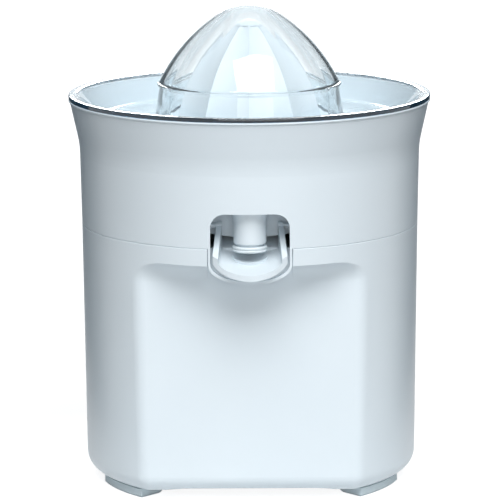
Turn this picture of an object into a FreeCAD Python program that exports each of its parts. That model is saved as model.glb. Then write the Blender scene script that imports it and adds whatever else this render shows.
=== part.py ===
import FreeCAD, Part
import math
import os

V = FreeCAD.Vector
UP = V(0, 0, 1)
CENTRE = V(0, 0, 0)

# Electric citrus press. Millimetres; origin on the floor under the drive axis, +Z up, spout at -Y.

# Whole press: most other places are worked out from these
RIM_R = 102.0
FLARE = 6.9
SEAM_Z = 146.5
BOWL_H = 70.3
LID_RISE = 53.2
FLAT_DEPTH = 23.1

# Lower housing
BODY_R_SEAM = RIM_R - FLARE
BODY_R_LOW = BODY_R_SEAM - 1.5
HOUSING_Z = 5.0
FLAT_Y = BODY_R_SEAM - FLAT_DEPTH
FLAT_CORNER_R = 10.0
BOTTOM_ROUND = 9.0
SOFFIT_Z = SEAM_Z - 9.5
COVE_R = 12.0
COVE_STEPS = 6
ARCH_H = 1.8
ARCH_HALF = 35.0
ARCH_RUN = 15.5
ARCH_DROP = 2.4
WALL = 2.6
DECK_TOP_Z = SEAM_Z - 3.0
DECK_T = 3.0
OPENING_INSET = 11.6
SPIGOT_R = BODY_R_SEAM - 3.1
SPIGOT_T = 2.2
SPIGOT_H = 4.0
SEAM_BREAK = 0.4
NOTCH_GAP = 0.5
TOWER_R = 12.2
TOWER_TOP_Z = SEAM_Z + 47.0
TOWER_BORE_R = 9.0

# Base plate, feet and their fixings
PLATE_T = 2.6
PLATE_GAP = 0.3
FOOT_R = BODY_R_LOW - 5.8
FOOT_INNER_R = FOOT_R - 15.8
FOOT_FROM = 44.0
FOOT_TO = 70.5
FOOT_EDGE = 1.2
PEG_R = 3.0
PEG_GAP = 0.05
PEG_CIRCLE_R = FOOT_R - 10.8
SIDE_SCREW_X = BODY_R_LOW - 23.6
REAR_SCREW_Y = BODY_R_LOW - 29.6
BASE_SCREWS = ((SIDE_SCREW_X, -4.0), (-SIDE_SCREW_X, -4.0), (32.0, REAR_SCREW_Y), (-32.0, REAR_SCREW_Y))
BOSS_R = 4.5
BOSS_TOP_Z = 26.0
SCREW_R = 1.75
SCREW_GAP = 0.1
SCREW_HEAD_R = 3.3
SCREW_HEAD_H = 2.2
VENT_W = 2.4
VENT_L = 26.0
VENT_Y = 40.0
VENT_COUNT = 7

# Juice bowl
BOWL_BEND_Z = SEAM_Z + 40.0
BOWL_BEND_R = BODY_R_SEAM + 0.7
BOWL_CONE_Z = SEAM_Z + 49.5
BOWL_CONE_R = BODY_R_SEAM + 1.85
BOWL_RIM_Z = SEAM_Z + BOWL_H
BOWL_RIM_R = RIM_R - 0.5
BOWL_FLOOR_Z = SEAM_Z + 23.1
BOWL_FLOOR_Y = -BODY_R_SEAM + 5.1
BOWL_TILT = 2.5
BOWL_FLOOR_T = 2.6
SKIRT_GAP = 0.4
LEDGE_Z = SEAM_Z + 48.5
LEDGE_W = 2.2
CHIMNEY_R = 16.0
CHIMNEY_BORE_R = 13.4
CHIMNEY_TOP_Z = LEDGE_Z + 4.0

# Spout niche and outlet in the bowl
NICHE_W = 21.6
NICHE_TOP_Z = SEAM_Z + 19.5
NICHE_CORNER = 8.0
NICHE_BACK_Y = -FLAT_Y + 4.7
NICHE_BACK_Z = SEAM_Z + 2.0
NICHE_BACK_SAG = 2.6
NICHE_BOW = 9.0
FRAME_T = 1.2
FRAME_FOOT_Z = SEAM_Z - 19.3
FRAME_FOOT_T = 1.8
CHEEK_T = 2.0
RAMP_RUN = 12.0
RAMP_HALF = 19.0
RAMP_GAP = 0.5
NOZZLE_Y = -FLAT_Y - 10.0
NOZZLE_R = 9.0
NOZZLE_BORE_R = 6.2
NOZZLE_Z = SEAM_Z + 1.5
NOZZLE_NECK_R = 7.4
SEAL_R = 9.5
SEAL_Z = SEAM_Z - 2.7
SEAL_H = 3.2
SEAL_GROOVE = 0.5

# Spout flap
FLAP_PIVOT_Y = -FLAT_Y + 2.0
FLAP_PIVOT_Z = SEAM_Z + 9.0
FLAP_HUB_R = 2.3
FLAP_PIN_R = 1.5
FLAP_PIN_GAP = 0.05
FLAP_SLOPE = 15.3
FLAP_W_BACK = 18.3
FLAP_W_LIP = 20.3
FLAP_CORNER_Y = FLAP_PIVOT_Y - 22.5
FLAP_LIP_Y = FLAP_PIVOT_Y - 29.5
FLAP_BACK_Y = -FLAT_Y - 0.4
FLAP_ARM_T = 3.0
FLAP_RIM_T = 3.2
FLAP_PAD_FLARE = 2.0
FLAP_SEAL_GAP = 0.3
FLAP_KEEL_Z = SEAM_Z - 16.6
FLAP_KEEL_A = 20.8
FLAP_KEEL_B = 8.5
FLAP_RAIL_Z = SEAM_Z - 6.0
FLAP_RAIL_Y = FLAP_PIVOT_Y - 26.0

# Strainer
STRAINER_GAP = 0.6
STRAINER_T = 1.8
STRAINER_FLOOR_Z = LEDGE_Z - 5.5
STRAINER_BEND_R = 62.0
COLLAR_R = 19.4
COLLAR_TOP_Z = LEDGE_Z + 6.5
SLOT_W = 1.6
INNER_SLOTS = 30
INNER_SLOT_FROM = 26.0
INNER_SLOT_TO = 43.0
OUTER_SLOTS = 48
OUTER_SLOT_FROM = 48.0
OUTER_SLOT_TO = 60.0

# Lid
LID_T = 2.2
LID_RIM_T = 2.5
LID_TOP_Z = BOWL_RIM_Z + LID_RISE
LID_FLOOR_Z = BOWL_RIM_Z - 11.3
LID_FLOOR_R = BOWL_RIM_R - 16.0
LID_WALL_TOP_R = BOWL_RIM_R - 3.9
LID_SKIRT_R = 53.0
LID_WAIST_R = 50.2
LID_LEDGE_Z = BOWL_RIM_Z + 6.6
LID_LEDGE_T = 1.8
LID_LEDGE_R = 51.7
DOME_ARC_R = 94.2
DOME_ARC_AXIS = -34.7
DOME_ARC_Z = BOWL_RIM_Z - 31.5
DOME_NOSE_Z = LID_TOP_Z - 3.6
FLUTES = 12
FLUTE_RISE = 0.010

# Reamer
REAMER_BASE_Z = LEDGE_Z + 3.0
REAMER_FLANGE_R = 43.0
REAMER_FLANGE_T = 2.0
REAMER_RIBS = 10
REAMER_RIDGES = (
    (REAMER_BASE_Z + 2.0, 42.0),
    (REAMER_BASE_Z + 14.0, 40.6),
    (REAMER_BASE_Z + 26.0, 36.4),
    (REAMER_BASE_Z + 37.0, 30.0),
    (REAMER_BASE_Z + 47.0, 21.6),
    (REAMER_BASE_Z + 54.0, 14.2),
    (REAMER_BASE_Z + 59.0, 8.0),
)
REAMER_VALLEY = 0.88
REAMER_TIP_Z = REAMER_BASE_Z + 62.0
REAMER_WALL = 3.0
SOCKET_R = 9.0
SOCKET_GAP = 0.3
SOCKET_TOP_Z = REAMER_BASE_Z + 33.0

# Spindle, spring, bushes and seal
SPINDLE_R = 5.0
SPINDLE_LOW_Z = DECK_TOP_Z - 27.5
SPINDLE_TOP_Z = REAMER_BASE_Z + 31.0
HEX_FLATS = 9.0
HEX_LOW_Z = REAMER_BASE_Z + 5.0
FLATS_W = 8.0
FLATS_TOP_Z = DECK_TOP_Z + 2.5
RUN_GAP = 0.05
COLLAR_SPINDLE_R = 8.0
COLLAR_SPINDLE_Z = TOWER_TOP_Z - 17.5
COLLAR_SPINDLE_H = 2.6
BUSH_Z = TOWER_TOP_Z - 12.0
SEAL_LIP_T = 3.0
BUSH_WALL = 3.0
SPRING_WIRE_R = 0.6
SPRING_R = 6.6
SPRING_TURNS = 7

# Gear train
MODULE_1 = 0.75
MODULE_2 = 1.0
PINION_TEETH = 12
IDLER_TEETH = 72
OUTPUT_TEETH = 66
IDLER_ANGLE = 50.0
MOTOR_ANGLE = 160.0
GEAR_BACKLASH = 0.3
GEAR_1_Z = DECK_TOP_Z - 17.3
GEAR_1_T = 6.0
GEAR_2_Z = DECK_TOP_Z - 9.5
GEAR_2_T = 5.8
HUB_R = 9.4
IDLER_PIN_R = 2.0
GEARBOX_Z = DECK_TOP_Z - 22.5
GEARBOX_T = 3.0
GEARBOX_R = 82.0
PILLARS = ((-38.0, -26.0), (42.0, -28.0), (58.0, 42.0), (-46.0, 28.0))
PILLAR_R = 4.5

# Motor
STATOR_Z = GEARBOX_Z - 41.0
STATOR_H = 24.0
STATOR_HALF = 21.0
STATOR_LEG = 12.0
STATOR_REACH = 52.0
ROTOR_R = 15.0
AIR_GAP = 0.4
SHAFT_R = 2.5
BRIDGE_T = 5.0
BRIDGE_GAP = 4.0
MOTOR_SCREW_X = 17.0
MOTOR_SCREW_Y = 16.5
COIL_WALL = 7.0
BOBBIN_T = 1.2

# Switch
LEVER_PIVOT_X = -15.0
LEVER_PIVOT_Z = GEARBOX_Z - 6.0
LEVER_TOP_Z = SPINDLE_LOW_Z - 0.4
LEVER_REACH = 19.0
LEVER_T = 1.2
LEVER_PIN_R = 1.0
SWITCH_Y = 6.0
SWITCH_Z = GEARBOX_Z - 20.0
SWITCH_W = 6.4
SWITCH_H = 10.0

# Cord gland and terminals
TERMINAL_Y = BODY_R_LOW - 26.6
GLAND_Z = 24.0
GLAND_R = 5.6
GLAND_BORE_R = 3.3
GLAND_FLANGE_R = 8.0


def side(r, z):
    return V(r, 0, z)


def plan(x, y):
    return V(x, y, 0)


def lengthwise(y, z):
    return V(0, y, z)


def chain(plane, start, *steps):
    """Edges of an open outline; a step is a point, or a (through, end) pair for an arc."""
    edges = []
    here = start
    for step in steps:
        if isinstance(step[0], tuple):
            through, end = step
            edges.append(Part.Arc(plane(*here), plane(*through), plane(*end)).toShape())
        else:
            end = step
            if math.dist(end, here) > 1e-6:
                edges.append(Part.makeLine(plane(*here), plane(*end)))
        here = end
    return edges


def face(plane, start, *steps):
    """Closed flat outline, with steps as in chain."""
    return Part.Face(Part.Wire(chain(plane, start, *steps, start)))


def half_oval(middle, end, foot):
    """Half of an oval, from one end of its long axis through foot to the other end."""
    return Part.ArcOfEllipse(Part.Ellipse(end, foot, middle), 0, math.pi).toShape()


def spun(start, *steps):
    return face(side, start, *steps).revolve(CENTRE, UP, 360)


def crown(r, low, top):
    """Round cap from radius r up to the axis, as a step for an outline that is spun."""
    height = top - low
    ball = (r * r + height * height) / (2 * height)
    half = r / 2
    return (half, top - ball + math.sqrt(ball * ball - half * half)), (0, top)


def rod(r, low, high, x=0.0, y=0.0):
    return Part.makeCylinder(r, high - low, V(x, y, low))


def hole(r, x=0.0, y=0.0):
    """Upright drill that passes right through the press."""
    return rod(r, -1, LID_TOP_Z + 1, x, y)


def tube(r, bore, low, high, x=0.0, y=0.0):
    return rod(r, low, high, x, y).cut(rod(bore, low - 1, high + 1, x, y))


def cross_rod(r, x_from, x_to, y, z):
    return Part.makeCylinder(r, x_to - x_from, V(x_from, y, z), V(1, 0, 0))


def box(x0, x1, y0, y1, z0, z1):
    return Part.makeBox(x1 - x0, y1 - y0, z1 - z0, V(x0, y0, z0))


def fused(first, *others):
    return first.multiFuse(list(others)).removeSplitter()


def turned(shape, degrees, x=0.0, y=0.0):
    copy = shape.copy()
    copy.rotate(V(x, y, 0), UP, degrees)
    return copy


def mirrored(shape):
    return shape.mirror(CENTRE, V(1, 0, 0))


def prism(outline, low, high):
    outline.translate(V(0, 0, low))
    return outline.extrude(V(0, 0, high - low))


def hexagon(flats, low, high):
    """Six-sided bar across the given flats."""
    r = flats / math.sqrt(3)
    points = [V(r * math.cos(k * math.pi / 3), r * math.sin(k * math.pi / 3), low) for k in range(7)]
    return Part.Face(Part.makePolygon(points)).extrude(V(0, 0, high - low))


def export(name, shape):
    shape.exportStep("parts/" + name + ".step")


def fluted(sections, count, start_angle):
    """Loft through rings of arcs; each section is (z, ridge radius, radius midway between ridges)."""
    step = 2 * math.pi / count
    wires = []
    for z, ridge, valley in sections:
        edges = []
        for k in range(count):
            a = start_angle + k * step
            points = []
            for r, angle in ((ridge, a), (valley, a + step / 2), (ridge, a + step)):
                points.append(V(r * math.cos(angle), r * math.sin(angle), z))
            edges.append(Part.Arc(*points).toShape())
        wires.append(Part.Wire(edges))
    return Part.makeLoft(wires, True, False)


def body_radius(z):
    rise = (z - HOUSING_Z) / (SEAM_Z - HOUSING_Z)
    return BODY_R_LOW + rise * (BODY_R_SEAM - BODY_R_LOW)


def housing_outline(z, inset, flat_y=FLAT_Y):
    """Round outline with a flat front, its two corners rounded, drawn in by inset."""
    r = body_radius(z) - inset
    flat = flat_y - inset
    corner = max(FLAT_CORNER_R - inset, 1.0)
    x = math.sqrt((r - corner) ** 2 - (flat - corner) ** 2)
    reach = r / (r - corner)
    touch = V(x * reach, -(flat - corner) * reach, z)
    middle = math.atan2(-(flat - corner), x) / 2 - math.pi / 4
    bulge = V(x + corner * math.cos(middle), -(flat - corner) + corner * math.sin(middle), z)
    left = [V(-p.x, p.y, z) for p in (touch, bulge, V(x, -flat, z))]
    edges = [
        Part.makeLine(left[2], V(x, -flat, z)),
        Part.Arc(V(x, -flat, z), bulge, touch).toShape(),
        Part.Arc(touch, V(0, r, z), left[0]).toShape(),
        Part.Arc(left[0], left[1], left[2]).toShape(),
    ]
    return Part.Wire(edges)


def housing_form(inset, low, high):
    return Part.makeLoft([housing_outline(low, inset), housing_outline(high, inset)], True, True)


def spout_window(half, low, bow, high, y0, y1):
    """Upright opening seen from the front, half an oval below and rounded above, run from y0 to y1."""
    r = NICHE_CORNER
    c = r * (1 - math.sqrt(0.5))
    spring = low + bow

    def front(x, z):
        return V(x, y0, z)

    rest = chain(
        front,
        (half, spring),
        (half, high - r),
        ((half - c, high - c), (half - r, high)),
        (r - half, high),
        ((c - half, high - c), (-half, high - r)),
        (-half, spring),
    )
    bottom = half_oval(front(0, spring), front(half, spring), front(0, low))
    return Part.Face(Part.Wire(Part.sortEdges([bottom] + rest)[0])).extrude(V(0, y1 - y0, 0))


def front_arch():
    """Shallow arch cut out of the front's lower edge, between the front feet."""
    top = HOUSING_Z + ARCH_H
    end = ARCH_HALF + ARCH_RUN
    half_way = ARCH_HALF + ARCH_RUN / 2
    outline = face(
        lambda x, z: V(x, -RIM_R, z),
        (-end, 0),
        (-end, top - ARCH_DROP),
        ((-half_way, top - ARCH_DROP / 4), (-ARCH_HALF, top)),
        (ARCH_HALF, top),
        ((half_way, top - ARCH_DROP / 4), (end, top - ARCH_DROP)),
        (end, 0),
    )
    return outline.extrude(V(0, RIM_R - FLAT_Y + OPENING_INSET - 1, 0))


def lower_housing():
    """Moulded motor housing: flat-fronted lower wall, cove under a round collar, deck and drive tower."""
    collar_z = SOFFIT_Z - COVE_R
    form = housing_form(0, HOUSING_Z, collar_z)
    low_edges = [e for e in form.Edges if e.BoundBox.ZMax < HOUSING_Z + 0.01]
    form = form.makeFillet(BOTTOM_ROUND, low_edges)
    sections = []
    for k in range(COVE_STEPS + 1):
        a = math.pi / 2 * k / COVE_STEPS
        z = collar_z + COVE_R * math.sin(a)
        sections.append(housing_outline(z, 0, FLAT_Y + COVE_R * (1 - math.cos(a))))
    cove = Part.makeLoft(sections, True, False)
    collar = spun(
        (0, SOFFIT_Z),
        (body_radius(SOFFIT_Z), SOFFIT_Z),
        (body_radius(SEAM_Z - SEAM_BREAK), SEAM_Z - SEAM_BREAK),
        (BODY_R_SEAM - SEAM_BREAK, SEAM_Z),
        (0, SEAM_Z),
    )
    deck_under = DECK_TOP_Z - DECK_T
    shell = form.fuse(cove).fuse(collar).cut(front_arch())
    shell = shell.cut(housing_form(WALL, HOUSING_Z + 10, deck_under))
    shell = shell.cut(housing_form(OPENING_INSET, HOUSING_Z - 1, HOUSING_Z + 11))
    shell = shell.cut(rod(SPIGOT_R - SPIGOT_T, DECK_TOP_Z, SEAM_Z + 1))
    tower = Part.makeCone(TOWER_R + 0.9, TOWER_R, TOWER_TOP_Z - DECK_TOP_Z + 1, V(0, 0, DECK_TOP_Z - 1))
    spigot = tube(SPIGOT_R, SPIGOT_R - SPIGOT_T, SEAM_Z - 1, SEAM_Z + SPIGOT_H)
    posts = []
    for x, y in PILLARS:
        posts.append(rod(PILLAR_R, GEARBOX_Z + GEARBOX_T, deck_under + 1, x, y))
    for x, y in BASE_SCREWS:
        reach = math.hypot(x, y)
        rib = box(reach, body_radius(20) - 1, -1.5, 1.5, HOUSING_Z + 11, BOSS_TOP_Z)
        posts.append(turned(rib, math.degrees(math.atan2(y, x))))
        posts.append(rod(BOSS_R, HOUSING_Z + PLATE_T, BOSS_TOP_Z, x, y))
    shell = fused(shell, tower, spigot, *posts)
    shell = shell.cut(rod(TOWER_BORE_R, deck_under - 1, TOWER_TOP_Z + 1))
    ramp = face(
        lengthwise,
        (-FLAT_Y, DECK_TOP_Z - 1),
        (-FLAT_Y, DECK_TOP_Z),
        (-FLAT_Y + RAMP_RUN, NICHE_BACK_Z - RAMP_GAP),
        (-FLAT_Y + RAMP_RUN, DECK_TOP_Z - 1),
    ).extrude(V(2 * RAMP_HALF, 0, 0))
    ramp.translate(V(-RAMP_HALF, 0, 0))
    shell = shell.fuse(ramp)
    notch = NICHE_W + FRAME_T + NOTCH_GAP
    shell = shell.cut(box(-notch, notch, -2 * RIM_R, -FLAT_Y, FRAME_FOOT_Z - 12, SEAM_Z + SPIGOT_H + 1))
    for x, y in PILLARS:
        shell = shell.cut(rod(SCREW_R, GEARBOX_Z, GEARBOX_Z + GEARBOX_T + 10, x, y))
    for x, y in BASE_SCREWS:
        shell = shell.cut(rod(SCREW_R, HOUSING_Z, HOUSING_Z + PLATE_T + 12, x, y))
    return shell.cut(Part.makeCylinder(GLAND_R, 40, V(0, BODY_R_LOW - 20, GLAND_Z), V(0, 1, 0)))


def at_angle(r, degrees):
    """Plan point at an angle counted from the front."""
    a = math.radians(degrees)
    return (r * math.sin(a), -r * math.cos(a))


FOOT_PEGS = (FOOT_FROM + 7.0, FOOT_TO - 7.0)


def foot():
    """Front right foot pad with two pegs; the other three are its mirror images."""
    middle = (FOOT_FROM + FOOT_TO) / 2
    outline = face(
        plan,
        at_angle(FOOT_INNER_R, FOOT_FROM),
        at_angle(FOOT_R, FOOT_FROM),
        (at_angle(FOOT_R, middle), at_angle(FOOT_R, FOOT_TO)),
        at_angle(FOOT_INNER_R, FOOT_TO),
        (at_angle(FOOT_INNER_R, middle), at_angle(FOOT_INNER_R, FOOT_FROM)),
    )
    pad = prism(outline, 0, HOUSING_Z)
    pad = pad.makeChamfer(FOOT_EDGE, [e for e in pad.Edges if e.BoundBox.ZMax < 0.01])
    pegs = [rod(PEG_R, HOUSING_Z - 1, HOUSING_Z + PLATE_T, *at_angle(PEG_CIRCLE_R, a)) for a in FOOT_PEGS]
    return fused(pad, *pegs)


def base_plate():
    """Bottom cover with peg holes, screw holes and a row of air slots."""
    plate = housing_form(OPENING_INSET + PLATE_GAP, HOUSING_Z, HOUSING_Z + PLATE_T)
    holes = []
    for a in FOOT_PEGS:
        for sign in (1, -1):
            x, y = at_angle(PEG_CIRCLE_R, a)
            holes.append(hole(PEG_R + PEG_GAP, x, sign * y))
            holes.append(hole(PEG_R + PEG_GAP, -x, sign * y))
    for x, y in BASE_SCREWS:
        holes.append(hole(SCREW_R + SCREW_GAP, x, y))
    for k in range(VENT_COUNT):
        x = (k - (VENT_COUNT - 1) / 2) * 3 * VENT_W
        holes.append(box(x - VENT_W / 2, x + VENT_W / 2, VENT_Y - VENT_L / 2, VENT_Y + VENT_L / 2, 0, 20))
    return plate.cut(Part.makeCompound(holes))


def screws(places, head_z, tip_z, head_h=SCREW_HEAD_H):
    """Upright screws with the head below; all are one group."""
    group = []
    for x, y in places:
        shank = rod(SCREW_R, head_z, tip_z, x, y)
        group.append(fused(rod(SCREW_HEAD_R, head_z - head_h, head_z, x, y), shank))
    return Part.makeCompound(group)


def below_floor(drop):
    """Everything under the tilted bowl floor, lowered by drop."""
    reach = 4 * RIM_R
    block = box(-reach, reach, -reach, reach, -reach, 0)
    block.rotate(CENTRE, V(1, 0, 0), BOWL_TILT)
    block.translate(V(0, BOWL_FLOOR_Y, BOWL_FLOOR_Z - drop))
    return block


def juice_bowl():
    """Collar wall, tilted floor, chimney, spout niche with its hanging frame, and the outlet nozzle."""
    outside = spun(
        (0, SEAM_Z),
        (BODY_R_SEAM - SEAM_BREAK, SEAM_Z),
        (BODY_R_SEAM, SEAM_Z + SEAM_BREAK),
        (BOWL_BEND_R, BOWL_BEND_Z),
        ((BOWL_BEND_R + 0.35, BOWL_BEND_Z + 4.8), (BOWL_CONE_R, BOWL_CONE_Z)),
        (BOWL_RIM_R, BOWL_RIM_Z),
        (0, BOWL_RIM_Z),
    )
    ledge_r = BOWL_CONE_R - WALL - 0.9
    inside = spun(
        (0, SEAM_Z),
        (ledge_r - LEDGE_W, SEAM_Z),
        (ledge_r - LEDGE_W, LEDGE_Z),
        (ledge_r, LEDGE_Z),
        (BOWL_CONE_R - WALL, BOWL_CONE_Z + 2),
        (BOWL_RIM_R - WALL, BOWL_RIM_Z),
        (BOWL_RIM_R - WALL, BOWL_RIM_Z + 5),
        (0, BOWL_RIM_Z + 5),
    ).cut(below_floor(0))
    under = rod(SPIGOT_R + SKIRT_GAP, SEAM_Z - 1, BOWL_RIM_Z).common(below_floor(BOWL_FLOOR_T))
    bowl = outside.cut(inside).cut(under)
    frame_half = NICHE_W + FRAME_T
    hanging = spun(
        (SPIGOT_R + SKIRT_GAP, FRAME_FOOT_Z - 5),
        (body_radius(FRAME_FOOT_Z - 5), FRAME_FOOT_Z - 5),
        (BODY_R_SEAM, SEAM_Z),
        (BODY_R_SEAM, SEAM_Z + 1),
        (SPIGOT_R + SKIRT_GAP, SEAM_Z + 1),
    ).common(spout_window(frame_half, FRAME_FOOT_Z, NICHE_BOW + FRAME_T, NICHE_TOP_Z, -2 * RIM_R, -FLAT_Y))
    inner_low = FRAME_FOOT_Z + FRAME_FOOT_T
    window = spout_window(NICHE_W, inner_low, NICHE_BOW, NICHE_TOP_Z, -2 * RIM_R, NICHE_BACK_Y)
    bowl = fused(bowl, hanging).cut(window)
    wall_top = BOWL_FLOOR_Z - BOWL_FLOOR_T / 2
    cheek_x = NICHE_W + CHEEK_T
    cheek_y = -math.sqrt(BODY_R_SEAM ** 2 - cheek_x ** 2) + CHEEK_T / 2
    cheek = box(NICHE_W, cheek_x, cheek_y, NICHE_BACK_Y + CHEEK_T, SEAM_Z + SPIGOT_H + 0.5, wall_top)
    back = face(
        lambda x, z: V(x, NICHE_BACK_Y, z),
        (-cheek_x, wall_top),
        (-cheek_x, NICHE_BACK_Z + NICHE_BACK_SAG),
        ((0, NICHE_BACK_Z), (cheek_x, NICHE_BACK_Z + NICHE_BACK_SAG)),
        (cheek_x, wall_top),
    ).extrude(V(0, CHEEK_T, 0))
    seat = SEAL_Z + 0.4
    nozzle = spun(
        (0, seat),
        (NOZZLE_NECK_R, seat),
        (NOZZLE_NECK_R, NOZZLE_Z),
        (NOZZLE_R - 0.9, NOZZLE_Z),
        ((NOZZLE_R - 0.26, NOZZLE_Z + 0.26), (NOZZLE_R, NOZZLE_Z + 0.9)),
        (NOZZLE_R, NICHE_TOP_Z - 6),
        ((NOZZLE_R + 0.4, NICHE_TOP_Z - 3), (NOZZLE_R + 1.6, wall_top)),
        (0, wall_top),
    )
    nozzle.translate(V(0, NOZZLE_Y, 0))
    chimney = rod(CHIMNEY_R, BOWL_FLOOR_Z + 2.4, CHIMNEY_TOP_Z)
    bowl = fused(bowl, cheek, mirrored(cheek), back, nozzle, chimney)
    bowl = bowl.cut(hole(CHIMNEY_BORE_R))
    bowl = bowl.cut(rod(NOZZLE_BORE_R, SEAL_Z - 1, BOWL_FLOOR_Z + 5, 0, NOZZLE_Y))
    pin_reach = 2 * NICHE_W
    return bowl.cut(cross_rod(FLAP_PIN_R + FLAP_PIN_GAP, -pin_reach, pin_reach, FLAP_PIVOT_Y, FLAP_PIVOT_Z))


def outlet_seal():
    """Soft ring pushed on the nozzle neck; the lifted flap closes on it."""
    neck = NOZZLE_NECK_R
    waist = SEAL_Z + SEAL_H / 2
    ring = spun(
        (NOZZLE_BORE_R, SEAL_Z),
        (SEAL_R - 0.6, SEAL_Z),
        (SEAL_R, SEAL_Z + 0.6),
        (SEAL_R, waist - SEAL_GROOVE),
        (SEAL_R - SEAL_GROOVE, waist),
        (SEAL_R, waist + SEAL_GROOVE),
        (SEAL_R, SEAL_Z + SEAL_H - 0.5),
        (SEAL_R - 0.5, SEAL_Z + SEAL_H),
        (neck, SEAL_Z + SEAL_H),
        (neck, SEAL_Z + 0.4),
        (NOZZLE_BORE_R, SEAL_Z + 0.4),
    )
    ring.translate(V(0, NOZZLE_Y, 0))
    return ring


def spout_flap():
    """Hinged chute: oval trough with a thick rim, a pad that closes the seal, two arms to the pivot pins."""
    slope = math.radians(FLAP_SLOPE)
    spread = (FLAP_W_LIP - FLAP_W_BACK) / (FLAP_PIVOT_Y - FLAP_CORNER_Y)

    def width(y):
        return FLAP_W_BACK + spread * (FLAP_PIVOT_Y - y)

    block = prism(
        face(
            plan,
            (-width(FLAP_PIVOT_Y), FLAP_PIVOT_Y),
            (-FLAP_W_LIP, FLAP_CORNER_Y),
            ((0, FLAP_LIP_Y), (FLAP_W_LIP, FLAP_CORNER_Y)),
            (width(FLAP_PIVOT_Y), FLAP_PIVOT_Y),
        ),
        FLAP_KEEL_Z - 20,
        NICHE_TOP_Z,
    )
    back = V(0, math.cos(slope), math.sin(slope))
    lift = V(0, -math.sin(slope), math.cos(slope))
    middle = V(0, FLAP_LIP_Y, FLAP_KEEL_Z) - back * 20 + lift * FLAP_KEEL_B

    def hull(inset):
        """Oval-bottomed run along the sloping floor, drawn in by inset."""
        end = V(FLAP_KEEL_A - inset, 0, 0)
        bottom = half_oval(middle, middle + end, middle - lift * (FLAP_KEEL_B - inset))
        top = lift * 60
        sides = Part.makePolygon([middle - end, middle - end + top, middle + end + top, middle + end])
        return Part.Face(Part.Wire([bottom] + sides.Edges)).extrude(back * 90)

    whole = block.common(hull(0))
    rear = FLAP_PIVOT_Y + 10
    front = FLAP_LIP_Y - 10
    clear = 2 * FLAP_W_LIP

    rise = (FLAP_PIVOT_Z + FLAP_HUB_R - 0.5 - FLAP_RAIL_Z) / (FLAP_PIVOT_Y - FLAP_RAIL_Y)
    over_rails = face(
        lengthwise,
        (rear, FLAP_RAIL_Z + (rear - FLAP_RAIL_Y) * rise),
        (front, FLAP_RAIL_Z + (front - FLAP_RAIL_Y) * rise),
        (front, LID_TOP_Z),
        (rear, LID_TOP_Z),
    ).extrude(V(2 * clear, 0, 0))
    over_rails.translate(V(-clear, 0, 0))
    channel = prism(
        face(
            plan,
            (-width(rear) + FLAP_ARM_T, rear),
            (-width(front) + FLAP_ARM_T, front),
            (width(front) - FLAP_ARM_T, front),
            (width(rear) - FLAP_ARM_T, rear),
        ),
        FLAP_KEEL_Z - 20,
        NICHE_TOP_Z,
    )
    pad_top = SEAL_Z - FLAP_SEAL_GAP
    pad_h = pad_top - FLAP_KEEL_Z
    pad = Part.makeCone(SEAL_R + FLAP_PAD_FLARE, SEAL_R, pad_h, V(0, NOZZLE_Y, pad_top - pad_h))
    pad.rotate(V(0, FLAP_PIVOT_Y, FLAP_PIVOT_Z), V(1, 0, 0), FLAP_SLOPE)
    flap = whole.cut(over_rails).cut(channel.common(hull(FLAP_RIM_T))).fuse(pad.common(whole))
    flap = flap.cut(box(-clear, clear, FLAP_BACK_Y, 0, 0, SEAM_Z + SPIGOT_H))
    inner = FLAP_W_BACK - FLAP_ARM_T
    hub = cross_rod(FLAP_HUB_R, inner, FLAP_W_BACK, FLAP_PIVOT_Y, FLAP_PIVOT_Z)
    pin = cross_rod(FLAP_PIN_R, FLAP_W_BACK - 1, NICHE_W + CHEEK_T - 0.2, FLAP_PIVOT_Y, FLAP_PIVOT_Z)
    return flap.multiFuse([hub, pin, mirrored(hub), mirrored(pin)])


def strainer():
    """Slotted dish with a collar that stands round the chimney."""
    rim_r = BOWL_CONE_R - WALL - 0.9 - STRAINER_GAP
    low = STRAINER_FLOOR_Z
    t = STRAINER_T
    dish = spun(
        (rim_r, LEDGE_Z),
        (rim_r - LEDGE_W - 0.4, LEDGE_Z),
        (STRAINER_BEND_R, low),
        (COLLAR_R - t, low),
        (COLLAR_R - t, COLLAR_TOP_Z),
        (COLLAR_R, COLLAR_TOP_Z),
        (COLLAR_R, low + t),
        (STRAINER_BEND_R - 0.4, low + t),
        (rim_r - LEDGE_W - 0.8, LEDGE_Z + t),
        (rim_r, LEDGE_Z + t),
    )
    slots = []
    for count, start, end in (
        (INNER_SLOTS, INNER_SLOT_FROM, INNER_SLOT_TO),
        (OUTER_SLOTS, OUTER_SLOT_FROM, OUTER_SLOT_TO),
    ):
        slot = box(start, end, -SLOT_W / 2, SLOT_W / 2, low - 3, low + 5)
        for k in range(count):
            slots.append(turned(slot, 360.0 * k / count))
    return dish.cut(Part.makeCompound(slots))


def dome_radius(z, inset=0.0):
    """Radius of the ogive dome at a height: one large arc, drawn in by inset."""
    return DOME_ARC_AXIS + math.sqrt((DOME_ARC_R - inset) ** 2 - (z - DOME_ARC_Z) ** 2)


def lid_hollow():
    """Room inside the dome, open below."""
    mouth = LID_FLOOR_Z - LID_T
    low = LID_LEDGE_Z + LID_LEDGE_T
    top = DOME_NOSE_Z - LID_T
    half_way = (low + top) / 2
    top_r = dome_radius(top, LID_T)
    return spun(
        (0, mouth - 5),
        (LID_SKIRT_R - LID_T, mouth - 5),
        (LID_SKIRT_R - LID_T, mouth),
        (LID_WAIST_R - LID_T, LID_LEDGE_Z),
        (dome_radius(low, LID_T), low),
        ((dome_radius(half_way, LID_T), half_way), (top_r, top)),
        crown(top_r, top, LID_TOP_Z - LID_T),
    )


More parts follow.
